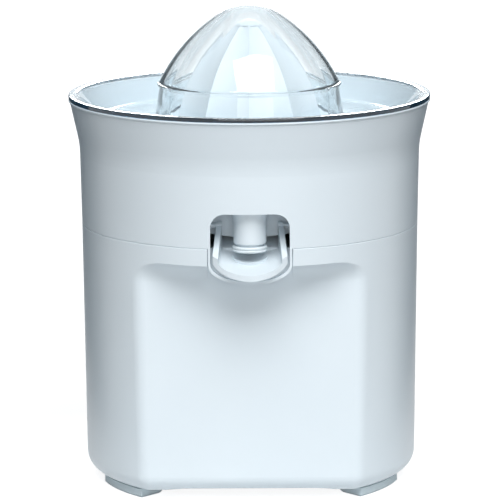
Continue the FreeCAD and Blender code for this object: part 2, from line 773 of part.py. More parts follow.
def lid():
    """Clear tray of the cover: raised rim, sunk trough and the hole under the dome."""
    floor_under = LID_FLOOR_Z - LID_T
    rim_low = BOWL_RIM_Z
    rim_top = BOWL_RIM_Z + LID_RIM_T
    fall = (LID_WALL_TOP_R - LID_FLOOR_R) / (rim_top - LID_FLOOR_Z)
    lean = LID_T * math.sqrt(1 + fall * fall)
    dish = spun(
        (0, floor_under),
        (LID_FLOOR_R + lean - LID_T * fall, floor_under),
        (LID_WALL_TOP_R + lean - LID_RIM_T * fall, rim_low),
        (RIM_R - 0.5, rim_low),
        (RIM_R, rim_low + 0.5),
        (RIM_R, rim_top - 0.9),
        ((RIM_R - 0.26, rim_top - 0.26), (RIM_R - 0.9, rim_top)),
        (LID_WALL_TOP_R, rim_top),
        (LID_FLOOR_R, LID_FLOOR_Z),
        (0, LID_FLOOR_Z),
    )
    return dish.cut(lid_hollow())


def flute_ring(z, r):
    return z, r * (1 + FLUTE_RISE / 2), r * (1 - FLUTE_RISE / 2)


def lid_dome():
    """Clear dome that stands in the tray: fluted skirt, ledge, fluted ogive and round nose."""
    start = -math.pi / 2
    rings = [flute_ring(LID_FLOOR_Z, LID_SKIRT_R), flute_ring(LID_LEDGE_Z + 0.5, LID_WAIST_R)]
    skirt = fluted(rings, FLUTES, start)
    ledge = rod(LID_LEDGE_R, LID_LEDGE_Z, LID_LEDGE_Z + LID_LEDGE_T)
    dome_low = LID_LEDGE_Z + LID_LEDGE_T - 0.5
    heights = [dome_low + (DOME_NOSE_Z - dome_low) * math.sin(k * math.pi / 12) for k in range(7)]
    dome = fluted([flute_ring(z, dome_radius(z)) for z in heights], FLUTES, start)
    nose_r = dome_radius(DOME_NOSE_Z) * (1 - FLUTE_RISE)
    nose = spun(
        (0, DOME_NOSE_Z - 0.5),
        (nose_r, DOME_NOSE_Z - 0.5),
        (nose_r, DOME_NOSE_Z),
        crown(nose_r, DOME_NOSE_Z, LID_TOP_Z),
    )
    return skirt.fuse(ledge).fuse(dome).fuse(nose).cut(lid_hollow())


def reamer():
    """Ribbed press cone on a flange, hollow below, with a six-sided socket and four webs."""
    rings = [(z, ridge, ridge * REAMER_VALLEY) for z, ridge in REAMER_RIDGES]
    cone = fluted(rings, REAMER_RIBS, -math.pi / 2)
    last_z, last_r = REAMER_RIDGES[-1]
    tip = spun((0, last_z), (last_r, last_z), crown(last_r, last_z, REAMER_TIP_Z))
    flange = rod(REAMER_FLANGE_R, REAMER_BASE_Z, REAMER_BASE_Z + REAMER_FLANGE_T)
    inner = [(ridge * REAMER_VALLEY - REAMER_WALL, z) for z, ridge in REAMER_RIDGES]
    hollow = spun(
        (0, REAMER_BASE_Z - 1),
        (inner[0][0], REAMER_BASE_Z - 1),
        inner[0],
        (inner[2], inner[4]),
        (0, inner[4][1]),
    )
    web = box(-60, 60, -1.0, 1.0, REAMER_BASE_Z + 16, REAMER_TIP_Z)
    socket = rod(SOCKET_R, REAMER_BASE_Z + 7, REAMER_TIP_Z)
    hollow = hollow.cut(socket).cut(web).cut(turned(web, 90))
    body = fused(flange, cone, tip).cut(hollow)
    return body.cut(hexagon(HEX_FLATS + 2 * SOCKET_GAP, REAMER_BASE_Z - 1, SOCKET_TOP_Z))


def drive_spindle():
    """Steel spindle: two flats in the gear, round in the bushes, six-sided at the reamer."""
    flats = FLATS_W / 2
    wide = 2 * SPINDLE_R
    low = rod(SPINDLE_R, SPINDLE_LOW_Z + 2, FLATS_TOP_Z).common(box(-wide, wide, -flats, flats, 0, LID_TOP_Z))
    tip = Part.makeCone(2.0, flats, 2, V(0, 0, SPINDLE_LOW_Z))
    middle = rod(SPINDLE_R, FLATS_TOP_Z, HEX_LOW_Z)
    collar = rod(COLLAR_SPINDLE_R, COLLAR_SPINDLE_Z, COLLAR_SPINDLE_Z + COLLAR_SPINDLE_H)
    return fused(low, tip, middle, collar, hexagon(HEX_FLATS, HEX_LOW_Z, SPINDLE_TOP_Z))


def involute(angle):
    return math.tan(angle) - angle


def gear(teeth, module, low, high, phase, addendum):
    """Straight-toothed gear; the flank half angle follows the 20 degree involute."""
    pitch_r = teeth * module / 2
    pressure = math.radians(20)
    base_r = pitch_r * math.cos(pressure)
    tip_r = pitch_r + addendum * module
    root_r = pitch_r - 1.25 * module
    half = math.pi / (2 * teeth) - GEAR_BACKLASH / (2 * pitch_r) + involute(pressure)
    flank = []
    for k in range(4):
        r = max(root_r, base_r) + (tip_r - max(root_r, base_r)) * k / 3
        flank.append((r, half - involute(math.acos(min(1.0, base_r / r)))))
    if root_r < base_r:
        flank.insert(0, (root_r, flank[0][1] * 0.86))
    points = []
    for k in range(teeth):
        middle = phase + 2 * math.pi * k / teeth
        for r, a in flank:
            points.append(V(r * math.cos(middle - a), r * math.sin(middle - a), low))
        for r, a in reversed(flank):
            points.append(V(r * math.cos(middle + a), r * math.sin(middle + a), low))
    points.append(points[0])
    return Part.Face(Part.makePolygon(points)).extrude(V(0, 0, high - low))


def place(shape, x, y):
    shape.translate(V(x, y, 0))
    return shape


# Gear centres worked out from the tooth counts
IDLER_TURN = math.radians(IDLER_ANGLE)
MOTOR_TURN = math.radians(MOTOR_ANGLE)
IDLER_REACH = (PINION_TEETH + OUTPUT_TEETH) * MODULE_2 / 2
MOTOR_REACH = (PINION_TEETH + IDLER_TEETH) * MODULE_1 / 2
IDLER_X = IDLER_REACH * math.cos(IDLER_TURN)
IDLER_Y = IDLER_REACH * math.sin(IDLER_TURN)
MOTOR_X = IDLER_X + MOTOR_REACH * math.cos(MOTOR_TURN)
MOTOR_Y = IDLER_Y + MOTOR_REACH * math.sin(MOTOR_TURN)
WHEEL_ADDENDUM = 0.8
PINION_ADDENDUM = 1.0
GEAR_2_TOP = GEAR_2_Z + GEAR_2_T
HUB_LOW_Z = GEARBOX_Z + GEARBOX_T + 1.0


def output_gear():
    wheel = gear(OUTPUT_TEETH, MODULE_2, GEAR_2_Z, GEAR_2_TOP, IDLER_TURN, WHEEL_ADDENDUM)
    hub = rod(HUB_R, HUB_LOW_Z, GEAR_2_TOP + 0.3)
    wide = 2 * SPINDLE_R
    flats = FLATS_W / 2 + RUN_GAP
    bore = hole(SPINDLE_R + RUN_GAP).common(box(-wide, wide, -flats, flats, 0, LID_TOP_Z))
    return fused(wheel, hub).cut(bore)


def idler_gear():
    wheel = gear(IDLER_TEETH, MODULE_1, GEAR_1_Z, GEAR_1_Z + GEAR_1_T, MOTOR_TURN, WHEEL_ADDENDUM)
    gap_phase = IDLER_TURN + math.pi + math.pi / PINION_TEETH
    pinion = gear(PINION_TEETH, MODULE_2, GEAR_1_Z + GEAR_1_T - 1, GEAR_2_TOP, gap_phase, PINION_ADDENDUM)
    both = fused(wheel, pinion).cut(hole(IDLER_PIN_R + RUN_GAP))
    return place(both, IDLER_X, IDLER_Y)


def motor_pinion():
    gap_phase = MOTOR_TURN + math.pi + math.pi / PINION_TEETH
    pinion = gear(PINION_TEETH, MODULE_1, GEAR_1_Z, GEAR_1_Z + GEAR_1_T, gap_phase, PINION_ADDENDUM)
    return place(pinion.cut(hole(SHAFT_R)), MOTOR_X, MOTOR_Y)


MOTOR_SCREWS = (
    (MOTOR_X + MOTOR_SCREW_X, MOTOR_Y + MOTOR_SCREW_Y),
    (MOTOR_X - MOTOR_SCREW_X, MOTOR_Y - MOTOR_SCREW_Y),
)
STATOR_TOP = STATOR_Z + STATOR_H
LOW_BRIDGE_Z = STATOR_Z - BRIDGE_GAP - BRIDGE_T
HIGH_BRIDGE_Z = STATOR_TOP + BRIDGE_GAP


def gearbox_plate():
    """Carrier plate hung from the deck pillars; it carries the motor, the gears and the lower bush."""
    plate = rod(GEARBOX_R, GEARBOX_Z, GEARBOX_Z + GEARBOX_T)
    plate = plate.common(box(-54, 66, -36, 66, 0, LID_TOP_Z))
    holes = [hole(SPINDLE_R + BUSH_WALL), hole(SHAFT_R + 2, MOTOR_X, MOTOR_Y)]
    holes.append(hole(IDLER_PIN_R, IDLER_X, IDLER_Y))
    for x, y in PILLARS + MOTOR_SCREWS:
        holes.append(hole(SCREW_R + SCREW_GAP, x, y))
    return plate.cut(Part.makeCompound(holes))


def stator_core():
    """Stack of motor sheets with the rotor bore and the window for the coil."""
    half = STATOR_HALF
    stack = box(-STATOR_REACH, half, -half, half, STATOR_Z, STATOR_TOP)
    window_x = -ROTOR_R - AIR_GAP - 6
    window = box(-STATOR_REACH + STATOR_LEG, window_x, -half + 9, half - 9, 0, LID_TOP_Z)
    stack = stack.cut(window).cut(hole(ROTOR_R + AIR_GAP))
    stack = place(stack, MOTOR_X, MOTOR_Y)
    for x, y in MOTOR_SCREWS:
        stack = stack.cut(hole(SCREW_R + SCREW_GAP, x, y))
    return stack


def around_leg(grow, y_half, hole):
    """Box sleeve round the coil leg of the stator."""
    low_x = -STATOR_REACH
    high_x = -STATOR_REACH + STATOR_LEG
    sleeve = box(low_x - grow, high_x + grow, -y_half, y_half, STATOR_Z - grow, STATOR_TOP + grow)
    core = box(low_x - hole, high_x + hole, -50, 50, STATOR_Z - hole, STATOR_TOP + hole)
    return place(sleeve.cut(core), MOTOR_X, MOTOR_Y)


def coil_bobbin():
    reach = STATOR_HALF - 9.4
    end = around_leg(BOBBIN_T + COIL_WALL, BOBBIN_T / 2, 0.1)
    ends = []
    for sign in (1, -1):
        copy = end.copy()
        copy.translate(V(0, sign * (reach - BOBBIN_T / 2), 0))
        ends.append(copy)
    return fused(around_leg(BOBBIN_T, reach - 0.1, 0.1), *ends)


def stator_coil():
    return around_leg(BOBBIN_T + COIL_WALL - 0.6, STATOR_HALF - 9.4 - BOBBIN_T, BOBBIN_T)


def bridge(low, spacer_low, spacer_high):
    """Motor bridge: a bar across two screws, a bearing boss and two spacers."""
    length = math.hypot(MOTOR_SCREW_X, MOTOR_SCREW_Y)
    bar = box(-length, length, -4.5, 4.5, low, low + BRIDGE_T)
    parts = [rod(6.5, low, low + BRIDGE_T)]
    for sign in (1, -1):
        parts.append(rod(4.5, min(low, spacer_low), max(low + BRIDGE_T, spacer_high), sign * length, 0))
    bar = fused(bar, *parts).cut(hole(SHAFT_R + RUN_GAP))
    for sign in (1, -1):
        bar = bar.cut(hole(SCREW_R + SCREW_GAP, sign * length, 0))
    bar = turned(bar, math.degrees(math.atan2(MOTOR_SCREW_Y, MOTOR_SCREW_X)))
    return place(bar, MOTOR_X, MOTOR_Y)


def motor_spacers():
    low = HIGH_BRIDGE_Z + BRIDGE_T
    return Part.makeCompound([tube(4.5, SCREW_R + SCREW_GAP, low, GEARBOX_Z, x, y) for x, y in MOTOR_SCREWS])


def rotor():
    body = tube(ROTOR_R, SHAFT_R, STATOR_Z + 1, STATOR_TOP - 1)
    fins = [tube(ROTOR_R - 1, ROTOR_R - 4, STATOR_Z - 1.5, STATOR_Z + 1)]
    fins.append(tube(ROTOR_R - 1, ROTOR_R - 4, STATOR_TOP - 1, STATOR_TOP + 1.5))
    return place(fused(body, *fins), MOTOR_X, MOTOR_Y)


def spring():
    """Return spring as one wire; each quarter turn of the helix is an arc through three of its points."""
    low = GEAR_2_TOP + 0.3 + SPRING_WIRE_R + 0.1
    high = COLLAR_SPINDLE_Z - SPRING_WIRE_R - 0.1
    quarters = 4 * SPRING_TURNS

    def at(q):
        a = q * math.pi / 2
        return V(SPRING_R * math.cos(a), SPRING_R * math.sin(a), low + (high - low) * q / quarters)

    path = Part.Wire([Part.Arc(at(q), at(q + 0.5), at(q + 1)).toShape() for q in range(quarters)])
    along = path.Edges[0].tangentAt(path.Edges[0].FirstParameter)
    section = Part.Wire(Part.makeCircle(SPRING_WIRE_R, at(0), along))
    return path.makePipeShell([section], True, False)


def switch_bracket():
    """Plate under the carrier plate with the lever pin."""
    face_y = SWITCH_Y
    plate = box(-20, -8.5, face_y, face_y + 1.5, SWITCH_Z - 1, GEARBOX_Z)
    pin = Part.makeCylinder(LEVER_PIN_R, face_y + 4.5, V(LEVER_PIVOT_X, -3.5, LEVER_PIVOT_Z), V(0, 1, 0))
    return fused(plate, pin)


def switch_lever():
    reach = LEVER_PIVOT_X + LEVER_REACH
    arm = box(LEVER_PIVOT_X, reach, -2.5, 3.5, LEVER_TOP_Z - LEVER_T, LEVER_TOP_Z)
    hub = Part.makeCylinder(2.2, 6, V(LEVER_PIVOT_X, -2.5, LEVER_PIVOT_Z), V(0, 1, 0))
    bore = Part.makeCylinder(LEVER_PIN_R + RUN_GAP, 20, V(LEVER_PIVOT_X, -10, LEVER_PIVOT_Z), V(0, 1, 0))
    return fused(arm, hub).cut(bore)


def switch_body():
    low = SWITCH_Z
    case = box(-20, 0, SWITCH_Y - SWITCH_W, SWITCH_Y, low, low + SWITCH_H)
    button = box(-5.5, -2.5, SWITCH_Y - 5, SWITCH_Y - 2, low + SWITCH_H - 1, low + SWITCH_H + 0.9)
    tags = [box(x, x + 0.8, SWITCH_Y - 5, SWITCH_Y - 1.5, low - 4, low + 1) for x in (-18, -10.4, -2.8)]
    return fused(case, button, *tags)


def cord_gland():
    """Bush for the supply cord in the rear wall."""
    wall_y = body_radius(GLAND_Z)
    bush = face(
        lambda r, y: V(r, y, GLAND_Z),
        (GLAND_BORE_R, wall_y - WALL - 3),
        (GLAND_R - 0.4, wall_y - WALL - 3),
        (GLAND_R, wall_y - WALL - 1),
        (GLAND_R, wall_y + 0.2),
        (GLAND_FLANGE_R, wall_y + 0.2),
        (GLAND_FLANGE_R - 1, wall_y + 2.4),
        (GLAND_BORE_R, wall_y + 2.4),
    ).revolve(V(0, 0, GLAND_Z), V(0, 1, 0), 360)
    return bush


def terminal_block():
    low = HOUSING_Z + PLATE_T
    case = box(-12, 12, TERMINAL_Y - 5, TERMINAL_Y + 5, low, low + 12)
    wells = [rod(2.2, low + 7, low + 20, x, TERMINAL_Y) for x in (-6, 6)]
    return case.cut(Part.makeCompound(wells))


def main():
    os.makedirs("parts", exist_ok=True)
    export("lower_housing", lower_housing())
    export("base_plate", base_plate())
    right = foot()
    export("front_right_foot", right)
    export("front_left_foot", mirrored(right))
    export("rear_right_foot", right.mirror(CENTRE, V(0, 1, 0)))
    export("rear_left_foot", mirrored(right).mirror(CENTRE, V(0, 1, 0)))
    export("base_screws", screws(BASE_SCREWS, HOUSING_Z, HOUSING_Z + PLATE_T + 11))
    export("juice_bowl", juice_bowl())
    export("outlet_seal", outlet_seal())
    export("spout_flap", spout_flap())
    export("strainer", strainer())
    export("lid", lid())
    export("lid_dome", lid_dome())
    export("reamer", reamer())
    export("drive_spindle", drive_spindle())
    export("return_spring", spring())
    export("tower_bush", tube(TOWER_BORE_R, SPINDLE_R + RUN_GAP, BUSH_Z, TOWER_TOP_Z - SEAL_LIP_T))
    export("tower_seal", tube(TOWER_BORE_R, SPINDLE_R + 0.3, TOWER_TOP_Z - SEAL_LIP_T, TOWER_TOP_Z))
    export("lower_bush", tube(SPINDLE_R + BUSH_WALL, SPINDLE_R + RUN_GAP, GEARBOX_Z - 2, HUB_LOW_Z - 0.6))
    export("thrust_washer", tube(HUB_R, SPINDLE_R + 0.3, HUB_LOW_Z - 0.6, HUB_LOW_Z - 0.1))
    export("output_gear", output_gear())
    export("idler_gear", idler_gear())
    deck_under = DECK_TOP_Z - DECK_T
    export("idler_pin", rod(IDLER_PIN_R, GEARBOX_Z, deck_under, IDLER_X, IDLER_Y))
    export("motor_pinion", motor_pinion())
    export("gearbox_plate", gearbox_plate())
    export("gearbox_screws", screws(PILLARS, GEARBOX_Z, GEARBOX_Z + GEARBOX_T + 9))
    export("stator_core", stator_core())
    export("coil_bobbin", coil_bobbin())
    export("stator_coil", stator_coil())
    export("lower_bridge", bridge(LOW_BRIDGE_Z, LOW_BRIDGE_Z, STATOR_Z))
    export("upper_bridge", bridge(HIGH_BRIDGE_Z, STATOR_TOP, HIGH_BRIDGE_Z))
    export("motor_spacers", motor_spacers())
    export("motor_screws", screws(MOTOR_SCREWS, LOW_BRIDGE_Z, GEARBOX_Z + GEARBOX_T))
    export("rotor", rotor())
    export("rotor_shaft", rod(SHAFT_R, LOW_BRIDGE_Z - 4, GEAR_1_Z + GEAR_1_T + 1, MOTOR_X, MOTOR_Y))
    export("switch_bracket", switch_bracket())
    export("switch_lever", switch_lever())
    export("switch_body", switch_body())
    export("cord_gland", cord_gland())
    export("terminal_block", terminal_block())


main()
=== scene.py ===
import math

import bpy
import numpy as np
from mathutils import Matrix, Vector


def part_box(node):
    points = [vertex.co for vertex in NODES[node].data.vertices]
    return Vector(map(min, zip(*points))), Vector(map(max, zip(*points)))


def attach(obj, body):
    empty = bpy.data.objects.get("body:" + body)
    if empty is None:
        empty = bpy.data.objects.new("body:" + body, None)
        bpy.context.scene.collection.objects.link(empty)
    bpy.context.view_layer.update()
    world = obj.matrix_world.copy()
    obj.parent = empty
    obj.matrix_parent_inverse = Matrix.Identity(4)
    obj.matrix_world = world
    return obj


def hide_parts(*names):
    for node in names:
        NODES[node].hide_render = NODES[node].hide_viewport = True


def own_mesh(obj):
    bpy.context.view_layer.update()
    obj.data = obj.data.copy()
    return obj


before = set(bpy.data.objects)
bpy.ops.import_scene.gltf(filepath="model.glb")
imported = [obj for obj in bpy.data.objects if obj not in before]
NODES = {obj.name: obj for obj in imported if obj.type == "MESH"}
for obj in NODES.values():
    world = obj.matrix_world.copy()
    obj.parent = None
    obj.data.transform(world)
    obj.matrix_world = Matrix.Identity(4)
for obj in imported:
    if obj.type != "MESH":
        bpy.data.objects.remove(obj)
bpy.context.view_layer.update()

bl_info = {
    "name": "Citrus press dressing",
    "version": (1, 0, 0),
    "blender": (4, 5, 0),
    "location": "3D View > Sidebar > Citrus press",
    "description": "Finishes, clear cover and studio for an electric citrus press",
    "category": "Object",
}

MM = 0.001
LID_LOW, LID_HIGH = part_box("lid")
DOME_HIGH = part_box("lid_dome")[1]
BOWL_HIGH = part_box("juice_bowl")[1]
SPRING_LOW, SPRING_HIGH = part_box("return_spring")

# Roundings of the cover's edges, outwards along the top and back along the underside
LEDGE_ROUND = 0.5 * MM
WAIST_ROUND = 0.4 * MM
SKIRT_ROUND = 1.2 * MM
TROUGH_ROUND = 1.6 * MM
WALL_ROUND = 1.0 * MM
RIM_ROUND = 0.9 * MM
RIM_UNDER_ROUND = 0.5 * MM
TROUGH_UNDER_ROUND = 2.4 * MM
SKIRT_UNDER_ROUND = 1.6 * MM
WAIST_UNDER_ROUND = 0.8 * MM

# How finely the cover's section is drawn, and how far past the ledge and above the trough its ridges reach
DOME_STEPS = 40
NOSE_STEPS = 10
ROUND_STEPS = 6
RUN_STEP = 2.5 * MM
RIDGE_PAST_LEDGE = 2.0 * MM
RIDGE_ABOVE_TROUGH = 0.5 * MM

# The clear cover: its band of dark blue painted shade, as distances in from the rim, its ripples and its
# absorption per metre
BAND_INNER = 1.2 * MM
BAND_OUTER = 0.3 * MM
RIPPLE_SPAN = 18 * MM
COVER_ABSORPTION = 22.0

# Spacing of the motor's sheets and of its winding's turns, as half a period
SHEET_HALF = 0.5 * MM
TURN_HALF = 0.4 * MM

# Colour sockets of a Mix node, which share their names with its other sockets
MIX_FIRST = 6
MIX_SECOND = 7
MIX_RESULT = 2

# The paper floor in metres: half its width, its pale patch before the press and where it is lifted to white
FLOOR_REACH = 6.0
PATCH_MIDDLE = (0.0, -0.20, 0.0)
PATCH_NEAR = 0.15
PATCH_FAR = 0.36
GLOW_NEAR = 0.15
GLOW_FAR = 0.7

# The cards beside the press in metres: their near and far foot on the right, and their height
CARD_NEAR = (0.20, 0.02)
CARD_FAR = (0.42, 1.6)
CARD_HIGH = 0.75

# What the lamps point at, and the tint of the surroundings
LAMP_AIM = (0.0, 0.0, 0.13)
ROOM_TINT = (0.93, 0.97, 1.0, 1.0)

# The camera, worked out from the edges in the photograph: metres, radians and pixels of its 500-pixel frame
CAMERA_PLACE = (0.0, -1.88498, 0.48588)
CAMERA_DIP = 0.1873
CAMERA_ROLL = -0.0047
FOCAL_PIXELS = 3372.01
PICTURE_WIDTH = 500
SENSOR_WIDTH = 36.0
CLIP_END = 50.0


def linear(code):
    """Turns an sRGB hex colour into linear red, green and blue."""
    parts = np.array([int(code[k : k + 2], 16) / 255 for k in (1, 3, 5)])
    curve = np.where(parts <= 0.04045, parts / 12.92, ((parts + 0.055) / 1.055) ** 2.4)
    return tuple(float(v) for v in curve)


def size(label, text, default):
    """A length in metres that a user may change."""
    return bpy.props.FloatProperty(
        name=label, description=text, default=default, unit="LENGTH", precision=5
    )


def colour(label, text, code):
    """A surface colour that a user may change, given as an sRGB hex value."""
    return bpy.props.FloatVectorProperty(
        name=label, description=text, default=linear(code), subtype="COLOR", min=0.0, max=1.0
    )


def watts(label, text, default):
    """A lamp's power that a user may change."""
    return bpy.props.FloatProperty(name=label, description=text, default=default, unit="POWER")


def factor(label, text, default):
    """A share that a user may change."""
    return bpy.props.FloatProperty(name=label, description=text, default=default, subtype="FACTOR")


def count(label, text, default, least):
    """A whole number that a user may change."""
    return bpy.props.IntProperty(name=label, description=text, default=default, min=least)


class CoverSizes(bpy.types.PropertyGroup):
    """Sizes of the clear cover"""

    rim_radius: size("Rim radius", "Outside of the cover's rim", LID_HIGH.x)
    rim_low: size("Rim underside", "Height at which the rim lies on the bowl", BOWL_HIGH.z)
    rim_thickness: size("Rim thickness", "Height of the rim above the bowl", 2.5 * MM)
    top: size("Top", "Height of the dome's nose", DOME_HIGH.z)
    wall: size("Wall", "Thickness of the cover", 2.2 * MM)
    floor_top: size("Trough floor", "Height of the trough's floor", LID_LOW.z + 2.2 * MM)
    floor_radius: size("Trough radius", "Where the trough's floor meets its wall", LID_HIGH.x - 16.5 * MM)
    wall_radius: size("Wall radius", "Radius at the top of the trough's wall", LID_HIGH.x - 4.4 * MM)
    skirt_radius: size("Skirt radius", "Radius of the skirt at the trough's floor", 53.0 * MM)
    waist_radius: size("Waist radius", "Radius of the skirt under the ledge", 50.2 * MM)
    ledge_low: size("Ledge", "Height of the ledge under the dome", BOWL_HIGH.z + 6.6 * MM)
    ledge_thickness: size("Ledge thickness", "Height of the ledge's edge", 1.8 * MM)
    ledge_radius: size("Ledge radius", "Outside of the ledge", 51.7 * MM)
    arc_radius: size("Dome arc", "Radius of the dome's pointed arch", 94.2 * MM)
    arc_axis: size("Arc centre radius", "Place of the arch's centre, past the axis", -34.7 * MM)
    arc_height: size("Arc centre height", "Height of the arch's centre", BOWL_HIGH.z - 31.5 * MM)
    nose_drop: size("Nose", "Height of the rounded nose", 3.6 * MM)
    flutes: count("Panels", "Panels round the dome", 12, 3)
    flute_rise: factor("Ridge", "Height of a ridge as a share of the radius", 0.010)


class LipSizes(bpy.types.PropertyGroup):
    """Sizes of the bowl's lip"""

    bead: size("Bead", "Radius of the rounded lip", 0.6 * MM)
    sunk: size("Sunk", "How far the bead's middle lies inside the bowl's wall", 0.15 * MM)
    drop: size("Drop", "How far the bead's middle lies under the bowl's rim", 0.65 * MM)


class SpringSizes(bpy.types.PropertyGroup):
    """Sizes of the return spring"""

    wire: size("Wire", "Radius of the spring's wire", 0.6 * MM)
    travel: size("Travel", "How far the spindle shortens the spring", 2.5 * MM)
    turns: count("Turns", "Turns of the spring", 7, 2)


class Finishes(bpy.types.PropertyGroup):
    """Colours of the press"""

    shell: colour("Shell", "Moulded white shells", "#E2ECF2")
    shell_cloud: colour("Shell cloud", "Faint drift in the white", "#DCE7EE")
    cover: colour("Cover", "Tint of the clear cover", "#FBFEFF")
    cover_depth: colour("Cover depth", "Colour left after a long way through the cover", "#9CC4D6")
    # Painted shade: dark blue laid on the rim's outer edge for the darkness the clear rim shows there
    painted_rim_shade: colour("Cover edge", "Colour of the rim's outer edge", "#1B4468")
    cover_shade: colour("Cover shade", "Light that one face lets on to what is under it", "#E4E4E4")
    foot: colour("Foot", "Soft rubber of the feet", "#E0EEF4")
    silicone: colour("Silicone", "Soft ring on the nozzle", "#DDE7EC")
    seal: colour("Seal", "Black seal on the spindle", "#1D1F21")
    acetal: colour("Gears", "Natural gear plastic", "#E9E6DA")
    black: colour("Black plastic", "Inner black mouldings", "#222426")
    zinc: colour("Zinc", "Plated steel", "#BFC3C8")
    iron: colour("Iron", "Bare motor steel", "#8E9093")
    alloy: colour("Alloy", "Cast bridges", "#C4C6C8")
    copper: colour("Copper", "Enamelled winding wire", "#B5682E")


class Studio(bpy.types.PropertyGroup):
    """Light and paper of the studio"""

    key_power: watts("Overhead box", "Power of the overhead soft box", 63.0)
    front_power: watts("Front box", "Power of the front soft box", 17.0)
    back_power: watts("Back box", "Power of the soft box behind", 42.0)
    ambient: factor("Ambient", "Dim light from all round", 0.08)
    floor: colour("Floor", "Pale paper before the press", "#CDD0D2")
    far_floor: colour("Far floor", "The same paper away from the press", "#6C6E70")
    glow: factor("Paper glow", "How far the paper is lifted to white beside the press", 0.88)
    card: colour("Cards", "Dark cards beside the press", "#34586A")


def add(tree, kind, settings=None, feeds=None):
    """Adds a node, sets its options and sockets by name, and links sockets to other nodes' outputs."""
    node = tree.nodes.new(kind)
    for key, value in (settings or {}).items():
        if isinstance(key, str) and hasattr(node, key):
            setattr(node, key, value)
        else:
            node.inputs[key].default_value = value
    for key, output in (feeds or {}).items():
        tree.links.new(output, node.inputs[key])
    return node


def start_material(name, settings):
    """A new material with its main shader set up; returns the material, its tree and that shader."""
    material = bpy.data.materials.new(name)
    material.use_nodes = True
    tree = material.node_tree
    shader = tree.nodes["Principled BSDF"]
    for key, value in settings.items():
        shader.inputs[key].default_value = value
    return material, tree, shader


def opaque(rgb):
    """Adds full alpha to a colour."""
    return (*rgb, 1.0)


def cloud(tree, shader, first, second, span, detail=2.0):
    """Drifts the base colour between two tones over patches as wide as span, in metres."""
    place = add(tree, "ShaderNodeTexCoord").outputs["Object"]
    noise = add(tree, "ShaderNodeTexNoise", {"Scale": 1 / span, "Detail": detail}, {"Vector": place})
    tones = {"data_type": "RGBA", MIX_FIRST: opaque(first), MIX_SECOND: opaque(second)}
    mix = add(tree, "ShaderNodeMix", tones, {"Factor": noise.outputs["Fac"]})
    tree.links.new(mix.outputs[MIX_RESULT], shader.inputs["Base Color"])
    return place


def grain(tree, shader, place, span, depth, low, high):
    """Roughness between low and high and a bump of that depth, from grain as wide as span, in metres."""
    noise = add(tree, "ShaderNodeTexNoise", {"Scale": 1 / span, "Detail": 3.0}, {"Vector": place})
    ends = {"To Min": low, "To Max": high}
    rough = add(tree, "ShaderNodeMapRange", ends, {"Value": noise.outputs["Fac"]})
    tree.links.new(rough.outputs["Result"], shader.inputs["Roughness"])
    relief = {"Strength": 1.0, "Distance": depth}
    bump = add(tree, "ShaderNodeBump", relief, {"Height": noise.outputs["Fac"]})
    tree.links.new(bump.outputs["Normal"], shader.inputs["Normal"])
    return bump


def moulded_abs(tones):
    """White ABS from a polished mould: an even cool white with soft gloss and the faintest orange peel."""
    material, tree, shader = start_material("moulded_white_abs", {"IOR": 1.52})
    place = cloud(tree, shader, tones.shell, tones.shell_cloud, span=60 * MM)
    grain(tree, shader, place, span=2.2 * MM, depth=0.004 * MM, low=0.34, high=0.42)
    return material


def clear_san(tones, rim):
    """Clear SAN, moulded and polished: nearly colourless in the wall, blue-green where light runs along it,
    dark blue painted shade at the edge of the rim, with a thin shade on what stands under it."""
    clear = {"Transmission Weight": 0.97, "IOR": 1.57}
    material, tree, shader = start_material("clear_moulded_san", clear)
    place = add(tree, "ShaderNodeTexCoord").outputs["Object"]
    flat = add(tree, "ShaderNodeVectorMath", {"operation": "MULTIPLY", 1: (1.0, 1.0, 0.0)}, {0: place})
    reach = add(tree, "ShaderNodeVectorMath", {"operation": "LENGTH"}, {0: flat.outputs["Vector"]})
    # Painted shade: the base colour turns dark blue in a thin band at the rim's outer edge
    band = {"From Min": rim - BAND_INNER, "From Max": rim - BAND_OUTER}
    edge = add(tree, "ShaderNodeMapRange", band, {"Value": reach.outputs["Value"]})
    tints = {"data_type": "RGBA", MIX_FIRST: opaque(tones.cover), MIX_SECOND: opaque(tones.painted_rim_shade)}
    mix = add(tree, "ShaderNodeMix", tints, {"Factor": edge.outputs["Result"]})
    tree.links.new(mix.outputs[MIX_RESULT], shader.inputs["Base Color"])
    ripple = add(tree, "ShaderNodeTexNoise", {"Scale": 1 / RIPPLE_SPAN}, {"Vector": place})
    polish = {"To Min": 0.03, "To Max": 0.07}
    rough = add(tree, "ShaderNodeMapRange", polish, {"Value": ripple.outputs["Fac"]})
    tree.links.new(rough.outputs["Result"], shader.inputs["Roughness"])
    inside = {"Color": opaque(tones.cover_depth), "Density": COVER_ABSORPTION}
    depth = add(tree, "ShaderNodeVolumeAbsorption", inside)
    end = tree.nodes["Material Output"]
    tree.links.new(depth.outputs["Volume"], end.inputs["Volume"])
    shade = add(tree, "ShaderNodeBsdfTransparent", {"Color": opaque(tones.cover_shade)})
    shadow = add(tree, "ShaderNodeLightPath").outputs["Is Shadow Ray"]
    both = {0: shadow, 1: shader.outputs["BSDF"], 2: shade.outputs["BSDF"]}
    surface = add(tree, "ShaderNodeMixShader", {}, both)
    tree.links.new(surface.outputs["Shader"], end.inputs["Surface"])
    return material


def foot_rubber(tones):
    """Pale grey thermoplastic rubber from a spark-eroded mould: dull, with a fine even grain."""
    dull = {"IOR": 1.5, "Specular IOR Level": 0.35}
    material, tree, shader = start_material("grey_soft_rubber", dull)
    darker = tuple(0.92 * v for v in tones.foot)
    place = cloud(tree, shader, tones.foot, darker, span=12 * MM)
    grain(tree, shader, place, span=0.9 * MM, depth=0.03 * MM, low=0.55, high=0.75)
    return material


